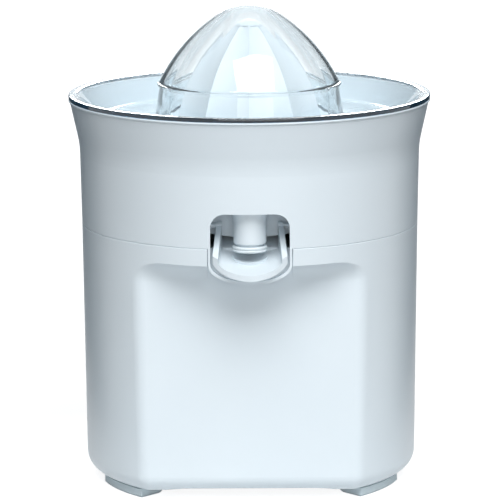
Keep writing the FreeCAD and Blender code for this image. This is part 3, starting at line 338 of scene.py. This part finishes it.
def pale_silicone(tones):
    """Pale silicone rubber: milky and satin, a little light passes into it."""
    milky = {"IOR": 1.41, "Subsurface Weight": 0.08, "Subsurface Scale": 1.0}
    material, tree, shader = start_material("pale_silicone_rubber", milky)
    shader.inputs["Subsurface Radius"].default_value = (2 * MM, 2 * MM, 2 * MM)
    paler = tuple(min(1.0, 1.04 * v) for v in tones.silicone)
    place = cloud(tree, shader, tones.silicone, paler, span=5 * MM)
    grain(tree, shader, place, span=0.8 * MM, depth=0.01 * MM, low=0.38, high=0.5)
    return material


def black_seal(tones):
    """Black nitrile rubber: matt, with a bloom of grey."""
    matt = {"IOR": 1.52, "Specular IOR Level": 0.3}
    material, tree, shader = start_material("black_nitrile_rubber", matt)
    bloom = tuple(v + 0.02 for v in tones.seal)
    place = cloud(tree, shader, tones.seal, bloom, span=4 * MM)
    grain(tree, shader, place, span=0.6 * MM, depth=0.02 * MM, low=0.6, high=0.8)
    return material


def plated_steel(tones):
    """Zinc-plated steel: bright grey with a faint spangle and uneven shine."""
    material, tree, shader = start_material("zinc_plated_steel", {"Metallic": 1.0})
    dull = tuple(0.82 * v for v in tones.zinc)
    place = cloud(tree, shader, tones.zinc, dull, span=3 * MM)
    grain(tree, shader, place, span=0.7 * MM, depth=0.006 * MM, low=0.22, high=0.42)
    return material


def stacked_iron(tones):
    """Electrical steel sheets pressed in a stack: dark grey with a line at each sheet. The sheets are 0.5 mm
    thick and drawn at 1 mm, to show."""
    material, tree, shader = start_material("stacked_motor_steel", {"Metallic": 1.0})
    rusty = tuple(v * f for v, f in zip(tones.iron, (0.78, 0.72, 0.68)))
    place = cloud(tree, shader, tones.iron, rusty, span=6 * MM)
    fine = grain(tree, shader, place, span=1.2 * MM, depth=0.01 * MM, low=0.4, high=0.6)
    height = add(tree, "ShaderNodeSeparateXYZ", {}, {"Vector": place}).outputs["Z"]
    sheets = add(tree, "ShaderNodeMath", {"operation": "PINGPONG", 1: SHEET_HALF}, {0: height})
    feeds = {"Height": sheets.outputs["Value"], "Normal": fine.outputs["Normal"]}
    bump = add(tree, "ShaderNodeBump", {"Strength": 0.6, "Distance": 0.2}, feeds)
    tree.links.new(bump.outputs["Normal"], shader.inputs["Normal"])
    return material


def cast_alloy(tones):
    """Die-cast aluminium as it leaves the die: pale grey, slightly rough, with flow clouds."""
    material, tree, shader = start_material("die_cast_aluminium", {"Metallic": 1.0})
    shade = tuple(0.85 * v for v in tones.alloy)
    place = cloud(tree, shader, tones.alloy, shade, span=8 * MM, detail=4.0)
    grain(tree, shader, place, span=0.9 * MM, depth=0.03 * MM, low=0.38, high=0.55)
    return material


def natural_acetal(tones):
    """Natural acetal, moulded: ivory white, waxy and smooth."""
    waxy = {"IOR": 1.48, "Subsurface Weight": 0.05, "Subsurface Scale": 1.5 * MM}
    material, tree, shader = start_material("natural_acetal", waxy)
    warm = tuple(v * f for v, f in zip(tones.acetal, (0.98, 0.96, 0.92)))
    place = cloud(tree, shader, tones.acetal, warm, span=7 * MM)
    grain(tree, shader, place, span=1.0 * MM, depth=0.005 * MM, low=0.32, high=0.45)
    return material


def black_polyamide(tones):
    """Glass-filled polyamide: near black and dull, with a fine fibrous grain."""
    material, tree, shader = start_material("black_filled_polyamide", {"IOR": 1.53})
    grey = tuple(1.5 * v for v in tones.black)
    place = cloud(tree, shader, tones.black, grey, span=5 * MM)
    grain(tree, shader, place, span=0.7 * MM, depth=0.02 * MM, low=0.42, high=0.6)
    return material


def enamelled_copper(tones):
    """Enamelled copper wire in layers: warm red-brown with a shiny line at each turn, drawn at 0.8 mm. The
    turns' bump takes the place of the grain's."""
    material, tree, shader = start_material("enamelled_copper_wire", {"Metallic": 1.0, "Coat Weight": 0.4})
    dark = tuple(0.7 * v for v in tones.copper)
    place = cloud(tree, shader, tones.copper, dark, span=4 * MM)
    grain(tree, shader, place, span=0.8 * MM, depth=0.01 * MM, low=0.25, high=0.4)
    across = add(tree, "ShaderNodeSeparateXYZ", {}, {"Vector": place}).outputs["X"]
    wires = add(tree, "ShaderNodeMath", {"operation": "PINGPONG", 1: TURN_HALF}, {0: across})
    relief = {"Strength": 0.8, "Distance": 0.6}
    bump = add(tree, "ShaderNodeBump", relief, {"Height": wires.outputs["Value"]})
    tree.links.new(bump.outputs["Normal"], shader.inputs["Normal"])
    return material


def dress(names, material):
    """Gives each named CAD node one material."""
    for name in names:
        slots = NODES[name].data.materials
        slots.clear()
        slots.append(material)


def new_piece(name, points, faces, material):
    """A smooth mesh object at the origin from arrays of points and of faces."""
    mesh = bpy.data.meshes.new(name)
    mesh.from_pydata(points.reshape(-1, 3).tolist(), [], faces)
    mesh.polygons.foreach_set("use_smooth", np.ones(len(mesh.polygons), bool))
    mesh.materials.append(material)
    mesh.validate()
    mesh.update()
    piece = bpy.data.objects.new(name, mesh)
    bpy.context.scene.collection.objects.link(piece)
    return piece


def rounded(corners, steps):
    """A line through corners given as (radius, height, rounding): each corner is cut by a quadratic curve
    that is tangent to its two sides and meets them as far from the corner as its rounding."""
    points = np.array([c[:2] for c in corners], float)
    cuts = np.array([c[2] for c in corners], float)
    line = [points[:1]]
    t = np.linspace(0, 1, steps)[:, None]
    for before, at, after, cut in zip(points[:-2], points[1:-1], points[2:], cuts[1:-1]):
        back = at + (before - at) / np.linalg.norm(before - at) * cut
        on = at + (after - at) / np.linalg.norm(after - at) * cut
        line.append((1 - t) ** 2 * back + 2 * t * (1 - t) * at + t**2 * on)
    line.append(points[-1:])
    return np.concatenate(line)


def spaced(line, step):
    """The same line with extra points so that no stretch is longer than step."""
    out = []
    for a, b in zip(line[:-1], line[1:]):
        parts = max(1, int(math.ceil(np.linalg.norm(b - a) / step)))
        out.append(a + (b - a) * np.linspace(0, 1, parts, endpoint=False)[:, None])
    out.append(line[-1:])
    return np.concatenate(out)


def ogive(cover, inset, low, high, steps):
    """Dome line from low to high: radius = axis + sqrt((arc - inset)^2 - (height - centre)^2)."""
    z = low + (high - low) * np.sin(np.linspace(0, math.pi / 2, steps))
    reach = (cover.arc_radius - inset) ** 2 - (z - cover.arc_height) ** 2
    return np.stack([cover.arc_axis + np.sqrt(reach), z], -1)


def cap(radius, low, top, steps):
    """Ball cap from radius at low towards the axis at top, without its ends: with h = top - low, its ball's
    radius is (radius^2 + h^2) / 2h."""
    height = top - low
    ball = (radius**2 + height**2) / (2 * height)
    a = np.linspace(math.asin(radius / ball), 0, steps)[1:-1]
    return np.stack([ball * np.sin(a), top - ball * (1 - np.cos(a))], -1)


def cover_line(cover):
    """The cover's section as one run: down the dome, over ledge, skirt, trough and rim, and back one wall
    below to the nose's inside. Comes with each point's share of the panels' ridges."""
    rim_top = cover.rim_low + cover.rim_thickness
    ledge_top = cover.ledge_low + cover.ledge_thickness
    nose_low = cover.top - cover.nose_drop
    inner_low = nose_low - cover.wall
    under = cover.floor_top - cover.wall
    fall = (cover.wall_radius - cover.floor_radius) / (rim_top - cover.floor_top)
    lean = cover.wall * math.sqrt(1 + fall * fall)
    outer_dome = ogive(cover, 0.0, ledge_top, nose_low, DOME_STEPS)
    nose = cap(outer_dome[-1, 0], nose_low, cover.top, NOSE_STEPS)
    inner_dome = ogive(cover, cover.wall, ledge_top, inner_low, DOME_STEPS)
    inner_nose = cap(inner_dome[-1, 0], inner_low, cover.top - cover.wall, NOSE_STEPS)
    corners = [
        (outer_dome[0, 0], outer_dome[0, 1], 0),
        (cover.ledge_radius, ledge_top, LEDGE_ROUND),
        (cover.ledge_radius, cover.ledge_low, LEDGE_ROUND),
        (cover.waist_radius, cover.ledge_low, WAIST_ROUND),
        (cover.skirt_radius, cover.floor_top, SKIRT_ROUND),
        (cover.floor_radius, cover.floor_top, TROUGH_ROUND),
        (cover.wall_radius, rim_top, WALL_ROUND),
        (cover.rim_radius, rim_top, RIM_ROUND),
        (cover.rim_radius, cover.rim_low, RIM_UNDER_ROUND),
        (cover.wall_radius + lean - cover.rim_thickness * fall, cover.rim_low, RIM_UNDER_ROUND),
        (cover.floor_radius + lean - cover.wall * fall, under, TROUGH_UNDER_ROUND),
        (cover.skirt_radius - cover.wall, under, SKIRT_UNDER_ROUND),
        (cover.waist_radius - cover.wall, cover.ledge_low, WAIST_UNDER_ROUND),
        (inner_dome[0, 0], inner_dome[0, 1], 0),
    ]
    top = np.concatenate([nose[::-1], outer_dome[::-1]])
    run = spaced(rounded(corners, ROUND_STEPS), RUN_STEP)[1:-1]
    line = np.concatenate([top, run, inner_dome, inner_nose])
    radius, height = line.T
    index = np.arange(len(line))
    near = radius < cover.ledge_radius + RIDGE_PAST_LEDGE
    above = height > cover.floor_top + RIDGE_ABOVE_TROUGH
    inner_skirt = (index >= len(top)) & (radius < cover.waist_radius - 0.5 * cover.wall)
    outside = (index < len(top) + len(run)) & ~inner_skirt
    share = (near & above & outside).astype(float)
    share[: len(nose)] = np.linspace(0, 1, len(nose))
    return line, share


def spin_faces(rings, columns):
    """Faces of a grid of rings round the axis, closed by fans to the two poles that follow its points."""
    i = np.arange(columns)
    j = (i + 1) % columns
    base = np.arange(rings - 1)[:, None] * columns
    quads = np.stack([base + i, base + columns + i, base + columns + j, base + j], -1).reshape(-1, 4)
    first_pole = np.full(columns, rings * columns)
    last_ring = (rings - 1) * columns
    first_fan = np.stack([first_pole, i, j], -1)
    last_fan = np.stack([first_pole + 1, last_ring + j, last_ring + i], -1)
    return quads.tolist() + first_fan.tolist() + last_fan.tolist()


def cover_surface(cover, per_panel=24):
    """Cover: its section spun round the axis, with radius x (1 + share x rise x (u^2 - 1/2)), u from -1 to 1
    across a panel."""
    line, share = cover_line(cover)
    columns = cover.flutes * per_panel
    turn = np.arange(columns) / columns
    across = 2 * ((turn * cover.flutes) % 1.0) - 1
    ridge = cover.flute_rise * (across**2 - 0.5)
    angle = 2 * math.pi * turn - math.pi / 2
    radius = line[:, :1] * (1 + share[:, None] * ridge[None, :])
    height = np.repeat(line[:, 1:], columns, 1)
    grid = np.stack([radius * np.cos(angle), radius * np.sin(angle), height], -1)
    poles = np.array([[0, 0, cover.top], [0, 0, cover.top - cover.wall]])
    points = np.concatenate([grid.reshape(-1, 3), poles])
    return points, spin_faces(len(line), columns)


def lip_surface(lip, around=360, across=12):
    """Lip: a bead round the bowl, radius = middle + bead x cos v and height = middle + bead x sin v."""
    u = np.arange(around) / around * 2 * math.pi
    v = np.arange(across)[:, None] / across * 2 * math.pi
    radius = BOWL_HIGH.x - lip.sunk + lip.bead * np.cos(v)
    height = BOWL_HIGH.z - lip.drop + lip.bead * np.sin(v) + 0 * u
    points = np.stack([radius * np.cos(u), radius * np.sin(u), height], -1)
    i = np.arange(across)[:, None] * around
    up = np.roll(i, -1, 0)
    j = np.arange(around)
    on = np.roll(j, -1)
    quads = np.stack([i + j, i + on, up + on, up + j], -1)
    return points, quads.reshape(-1, 4).tolist()


def spring_surface(spring, per_turn=36, across=10):
    """Spring: a round wire along the helix (coil cos a, coil sin a, low + rise x a), with flat ends."""
    coil = SPRING_HIGH.x - spring.wire
    low = SPRING_LOW.z + spring.wire
    high = SPRING_HIGH.z - spring.wire
    a = np.linspace(0, 2 * math.pi * spring.turns, spring.turns * per_turn + 1)[:, None]
    v = np.arange(across) / across * 2 * math.pi
    rise = (high - low) / a[-1, 0]
    slope = math.hypot(coil, rise)
    middle = np.concatenate([coil * np.cos(a), coil * np.sin(a), low + rise * a], 1)
    out = np.concatenate([np.cos(a), np.sin(a), 0 * a], 1)
    along = np.concatenate([-coil * np.sin(a), coil * np.cos(a), rise + 0 * a], 1) / slope
    side = np.cross(along, out)
    ring = out[:, None] * np.cos(v)[:, None] + side[:, None] * np.sin(v)[:, None]
    points = middle[:, None] + spring.wire * ring
    i = np.arange(len(a) - 1)[:, None] * across
    j = np.arange(across)
    on = np.roll(j, -1)
    quads = np.stack([i + j, i + on, i + across + on, i + across + j], -1)
    last = (len(a) - 1) * across
    return points, quads.reshape(-1, 4).tolist() + [j[::-1].tolist(), (last + j).tolist()]


class PRESS_OT_white_shells(bpy.types.Operator):
    """Finishes the white mouldings"""

    bl_idname = "press.white_shells"
    bl_label = "White mouldings"

    def execute(self, context):
        white = moulded_abs(context.scene.press_finishes)
        dress(("lower_housing", "juice_bowl", "spout_flap", "strainer", "reamer", "base_plate"), white)
        return {"FINISHED"}


class PRESS_OT_rubber_pieces(bpy.types.Operator):
    """Finishes the feet, the nozzle's ring and the spindle's seal"""

    bl_idname = "press.rubber_pieces"
    bl_label = "Feet and seals"

    def execute(self, context):
        tones = context.scene.press_finishes
        feet = ("front_right_foot", "front_left_foot", "rear_right_foot", "rear_left_foot")
        dress(feet, foot_rubber(tones))
        dress(("outlet_seal",), pale_silicone(tones))
        dress(("tower_seal",), black_seal(tones))
        return {"FINISHED"}


class PRESS_OT_drive_pieces(bpy.types.Operator):
    """Finishes the gears, bushes, motor, switch and fasteners"""

    bl_idname = "press.drive_pieces"
    bl_label = "Drive and motor"

    def execute(self, context):
        tones = context.scene.press_finishes
        plated = (
            "base_screws",
            "drive_spindle",
            "return_spring",
            "thrust_washer",
            "idler_pin",
            "gearbox_screws",
            "motor_screws",
            "rotor_shaft",
            "switch_bracket",
        )
        black = (
            "gearbox_plate",
            "coil_bobbin",
            "switch_lever",
            "switch_body",
            "terminal_block",
            "cord_gland",
        )
        waxy = ("output_gear", "idler_gear", "motor_pinion", "tower_bush", "lower_bush")
        dress(plated, plated_steel(tones))
        dress(("stator_core", "rotor"), stacked_iron(tones))
        dress(("lower_bridge", "upper_bridge", "motor_spacers"), cast_alloy(tones))
        dress(waxy, natural_acetal(tones))
        dress(black, black_polyamide(tones))
        dress(("stator_coil",), enamelled_copper(tones))
        return {"FINISHED"}


class PRESS_OT_return_spring(bpy.types.Operator):
    """Winds the return spring, in place of the packed one"""

    bl_idname = "press.return_spring"
    bl_label = "Return spring"

    def execute(self, context):
        spring = context.scene.press_spring
        points, faces = spring_surface(spring)
        steel = NODES["return_spring"].data.materials[0]
        piece = new_piece("return_spring_wire", points, faces, steel)
        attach(piece, "output_gear")
        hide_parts("return_spring")
        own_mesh(piece)
        return {"FINISHED"}


class PRESS_OT_bowl_lip(bpy.types.Operator):
    """Rounds the lip under the bowl's rim"""

    bl_idname = "press.bowl_lip"
    bl_label = "Bowl lip"

    def execute(self, context):
        points, faces = lip_surface(context.scene.press_lip)
        piece = new_piece("bowl_lip", points, faces, NODES["juice_bowl"].data.materials[0])
        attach(piece, "juice_bowl")
        return {"FINISHED"}


class PRESS_OT_clear_cover(bpy.types.Operator):
    """Builds the clear domed cover"""

    bl_idname = "press.clear_cover"
    bl_label = "Clear cover"

    def execute(self, context):
        cover = context.scene.press_cover
        points, faces = cover_surface(cover)
        clear = clear_san(context.scene.press_finishes, cover.rim_radius)
        piece = new_piece("clear_cover", points, faces, clear)
        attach(piece, "lid")
        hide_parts("lid", "lid_dome")
        return {"FINISHED"}


def paper_white(tree):
    """1 where the eye looks, straight or by way of a gloss or a clear wall, and 0 for light that falls on
    things, which comes by way of a matt surface and so has a diffuse depth of 1 or more."""
    path = add(tree, "ShaderNodeLightPath").outputs
    larger = {"operation": "MAXIMUM"}
    gloss = add(tree, "ShaderNodeMath", larger, {0: path["Is Camera Ray"], 1: path["Is Glossy Ray"]})
    clear = {0: gloss.outputs["Value"], 1: path["Is Transmission Ray"]}
    shown = add(tree, "ShaderNodeMath", larger, clear)
    below = {"operation": "LESS_THAN", 1: 0.5}
    straight = add(tree, "ShaderNodeMath", below, {0: path["Diffuse Depth"]})
    both = {0: shown.outputs["Value"], 1: straight.outputs["Value"]}
    return add(tree, "ShaderNodeMath", {"operation": "MULTIPLY"}, both).outputs["Value"]


def paper_sweep(studio):
    """Matt studio paper: pale before the press, darker away from it, and lifted to white where it is seen, a
    little less beside the press so that the shadow stays."""
    matt = {"Roughness": 0.9, "Specular IOR Level": 0.0}
    material, tree, shader = start_material("paper_sweep", matt)
    place = add(tree, "ShaderNodeTexCoord").outputs["Object"]
    from_patch = {"operation": "DISTANCE", 1: PATCH_MIDDLE}
    front = add(tree, "ShaderNodeVectorMath", from_patch, {0: place})
    patch = {"From Min": PATCH_NEAR, "From Max": PATCH_FAR}
    reached = add(tree, "ShaderNodeMapRange", patch, {"Value": front.outputs["Value"]})
    tones = {"data_type": "RGBA", MIX_FIRST: opaque(studio.floor), MIX_SECOND: opaque(studio.far_floor)}
    fade = add(tree, "ShaderNodeMix", tones, {"Factor": reached.outputs["Result"]})
    tree.links.new(fade.outputs[MIX_RESULT], shader.inputs["Base Color"])
    away = add(tree, "ShaderNodeVectorMath", {"operation": "LENGTH"}, {0: place})
    lift = {"From Min": GLOW_NEAR, "From Max": GLOW_FAR, "To Min": studio.glow, "To Max": 1.0}
    rise = add(tree, "ShaderNodeMapRange", lift, {"Value": away.outputs["Value"]})
    level = {0: paper_white(tree), 1: rise.outputs["Result"]}
    shown = add(tree, "ShaderNodeMath", {"operation": "MULTIPLY"}, level)
    white = {"Color": (1.0, 1.0, 1.0, 1.0)}
    light = add(tree, "ShaderNodeEmission", white, {"Strength": shown.outputs["Value"]})
    both = {0: shader.outputs["BSDF"], 1: light.outputs["Emission"]}
    surface = add(tree, "ShaderNodeAddShader", {}, both)
    tree.links.new(surface.outputs["Shader"], tree.nodes["Material Output"].inputs["Surface"])
    return material


def flat_sheet(name, corners, material):
    """A flat four-cornered stage sheet."""
    sheet = new_piece(name, np.array(corners, float), [[0, 1, 2, 3]], material)
    return sheet


def side_card(name, side, material):
    """A dark card that stands beside the press: gloss and bounced light meet it, while the eye, the lamps'
    shadows and sight through the clear cover pass it by."""
    near = (side * CARD_NEAR[0], CARD_NEAR[1])
    far = (side * CARD_FAR[0], CARD_FAR[1])
    corners = ((*near, 0.0), (*far, 0.0), (*far, CARD_HIGH), (*near, CARD_HIGH))
    card = flat_sheet(name, corners, material)
    card.visible_camera = False
    card.visible_shadow = False
    card.visible_transmission = False


def soft_box(name, place, width, height, power):
    """An area lamp turned to the press, hidden from the eye and from sight through the clear cover."""
    lamp = bpy.data.lights.new(name, "AREA")
    lamp.shape = "RECTANGLE"
    lamp.size = width
    lamp.size_y = height
    lamp.energy = power
    holder = bpy.data.objects.new(name, lamp)
    holder.location = place
    holder.rotation_euler = (Vector(LAMP_AIM) - Vector(place)).to_track_quat("-Z", "Y").to_euler()
    holder.visible_transmission = False
    holder.visible_camera = False
    bpy.context.scene.collection.objects.link(holder)


def studio_room(scene, ambient):
    """Surroundings: dim light from all round, and near white where they are seen."""
    world = bpy.data.worlds.new("studio_room")
    scene.world = world
    world.use_nodes = True
    tree = world.node_tree
    room = tree.nodes["Background"]
    room.inputs["Color"].default_value = ROOM_TINT
    dim = {"operation": "MAXIMUM", 1: ambient}
    level = add(tree, "ShaderNodeMath", dim, {0: paper_white(tree)})
    tree.links.new(level.outputs["Value"], room.inputs["Strength"])


def photo_camera(scene):
    """The camera at the photograph's viewing angle."""
    lens = bpy.data.cameras.new("photo_camera")
    lens.sensor_width = SENSOR_WIDTH
    lens.lens = FOCAL_PIXELS / PICTURE_WIDTH * SENSOR_WIDTH
    lens.clip_end = CLIP_END
    camera = bpy.data.objects.new("photo_camera", lens)
    camera.location = CAMERA_PLACE
    dip = Matrix.Rotation(math.pi / 2 - CAMERA_DIP, 4, "X")
    roll = Matrix.Rotation(CAMERA_ROLL, 4, "Z")
    camera.rotation_euler = (dip @ roll).to_euler()
    scene.collection.objects.link(camera)
    scene.camera = camera


class PRESS_OT_stage(bpy.types.Operator):
    """Lays the paper floor and sets the lamps, the dark cards, the surroundings and the camera"""

    bl_idname = "press.stage"
    bl_label = "Studio"

    def execute(self, context):
        scene = context.scene
        studio = scene.press_studio
        scene.view_settings.view_transform = "Standard"
        reach = FLOOR_REACH
        floor = ((-reach, -reach, 0), (reach, -reach, 0), (reach, reach, 0), (-reach, reach, 0))
        flat_sheet("paper_floor", floor, paper_sweep(studio))
        dark = {"Base Color": opaque(studio.card), "Roughness": 0.9}
        card = start_material("blue_grey_card", dark)[0]
        side_card("left_card", -1, card)
        side_card("right_card", 1, card)
        studio_room(scene, studio.ambient)
        soft_box("overhead_box", place=(0.18, -1.38, 2.10), width=1.9, height=1.5, power=studio.key_power)
        soft_box("front_box", place=(0.25, -2.6, 0.5), width=2.4, height=1.0, power=studio.front_power)
        soft_box("back_box", place=(0.0, 2.4, 1.1), width=1.0, height=1.0, power=studio.back_power)
        photo_camera(scene)
        return {"FINISHED"}


class PRESS_PT_sidebar(bpy.types.Panel):
    """Lists the pieces of the citrus press"""

    bl_idname = "PRESS_PT_sidebar"
    bl_label = "Citrus press"
    bl_space_type = "VIEW_3D"
    bl_region_type = "UI"
    bl_category = "Citrus press"

    def draw(self, context):
        for operator in STEPS:
            self.layout.operator(operator.bl_idname)
        for name in GROUPS:
            group = getattr(context.scene, name)
            column = self.layout.column(align=True)
            for key in group.__annotations__:
                column.prop(group, key)


STEPS = (
    PRESS_OT_white_shells,
    PRESS_OT_rubber_pieces,
    PRESS_OT_drive_pieces,
    PRESS_OT_return_spring,
    PRESS_OT_bowl_lip,
    PRESS_OT_clear_cover,
    PRESS_OT_stage,
)
GROUPS = {
    "press_cover": CoverSizes,
    "press_lip": LipSizes,
    "press_spring": SpringSizes,
    "press_finishes": Finishes,
    "press_studio": Studio,
}


def register():
    """Registers the property groups, the operators and the panel."""
    for group in GROUPS.values():
        bpy.utils.register_class(group)
    for name, group in GROUPS.items():
        setattr(bpy.types.Scene, name, bpy.props.PointerProperty(type=group))
    for step in (*STEPS, PRESS_PT_sidebar):
        bpy.utils.register_class(step)


def unregister():
    """Takes the panel, the operators and the property groups away again."""
    for step in (PRESS_PT_sidebar, *reversed(STEPS)):
        bpy.utils.unregister_class(step)
    for name, group in GROUPS.items():
        delattr(bpy.types.Scene, name)
        bpy.utils.unregister_class(group)


def main():
    """Dresses the press step by step."""
    register()
    for step in STEPS:
        family, action = step.bl_idname.split(".")
        getattr(getattr(bpy.ops, family), action)()


if __name__ == "__main__":
    main()
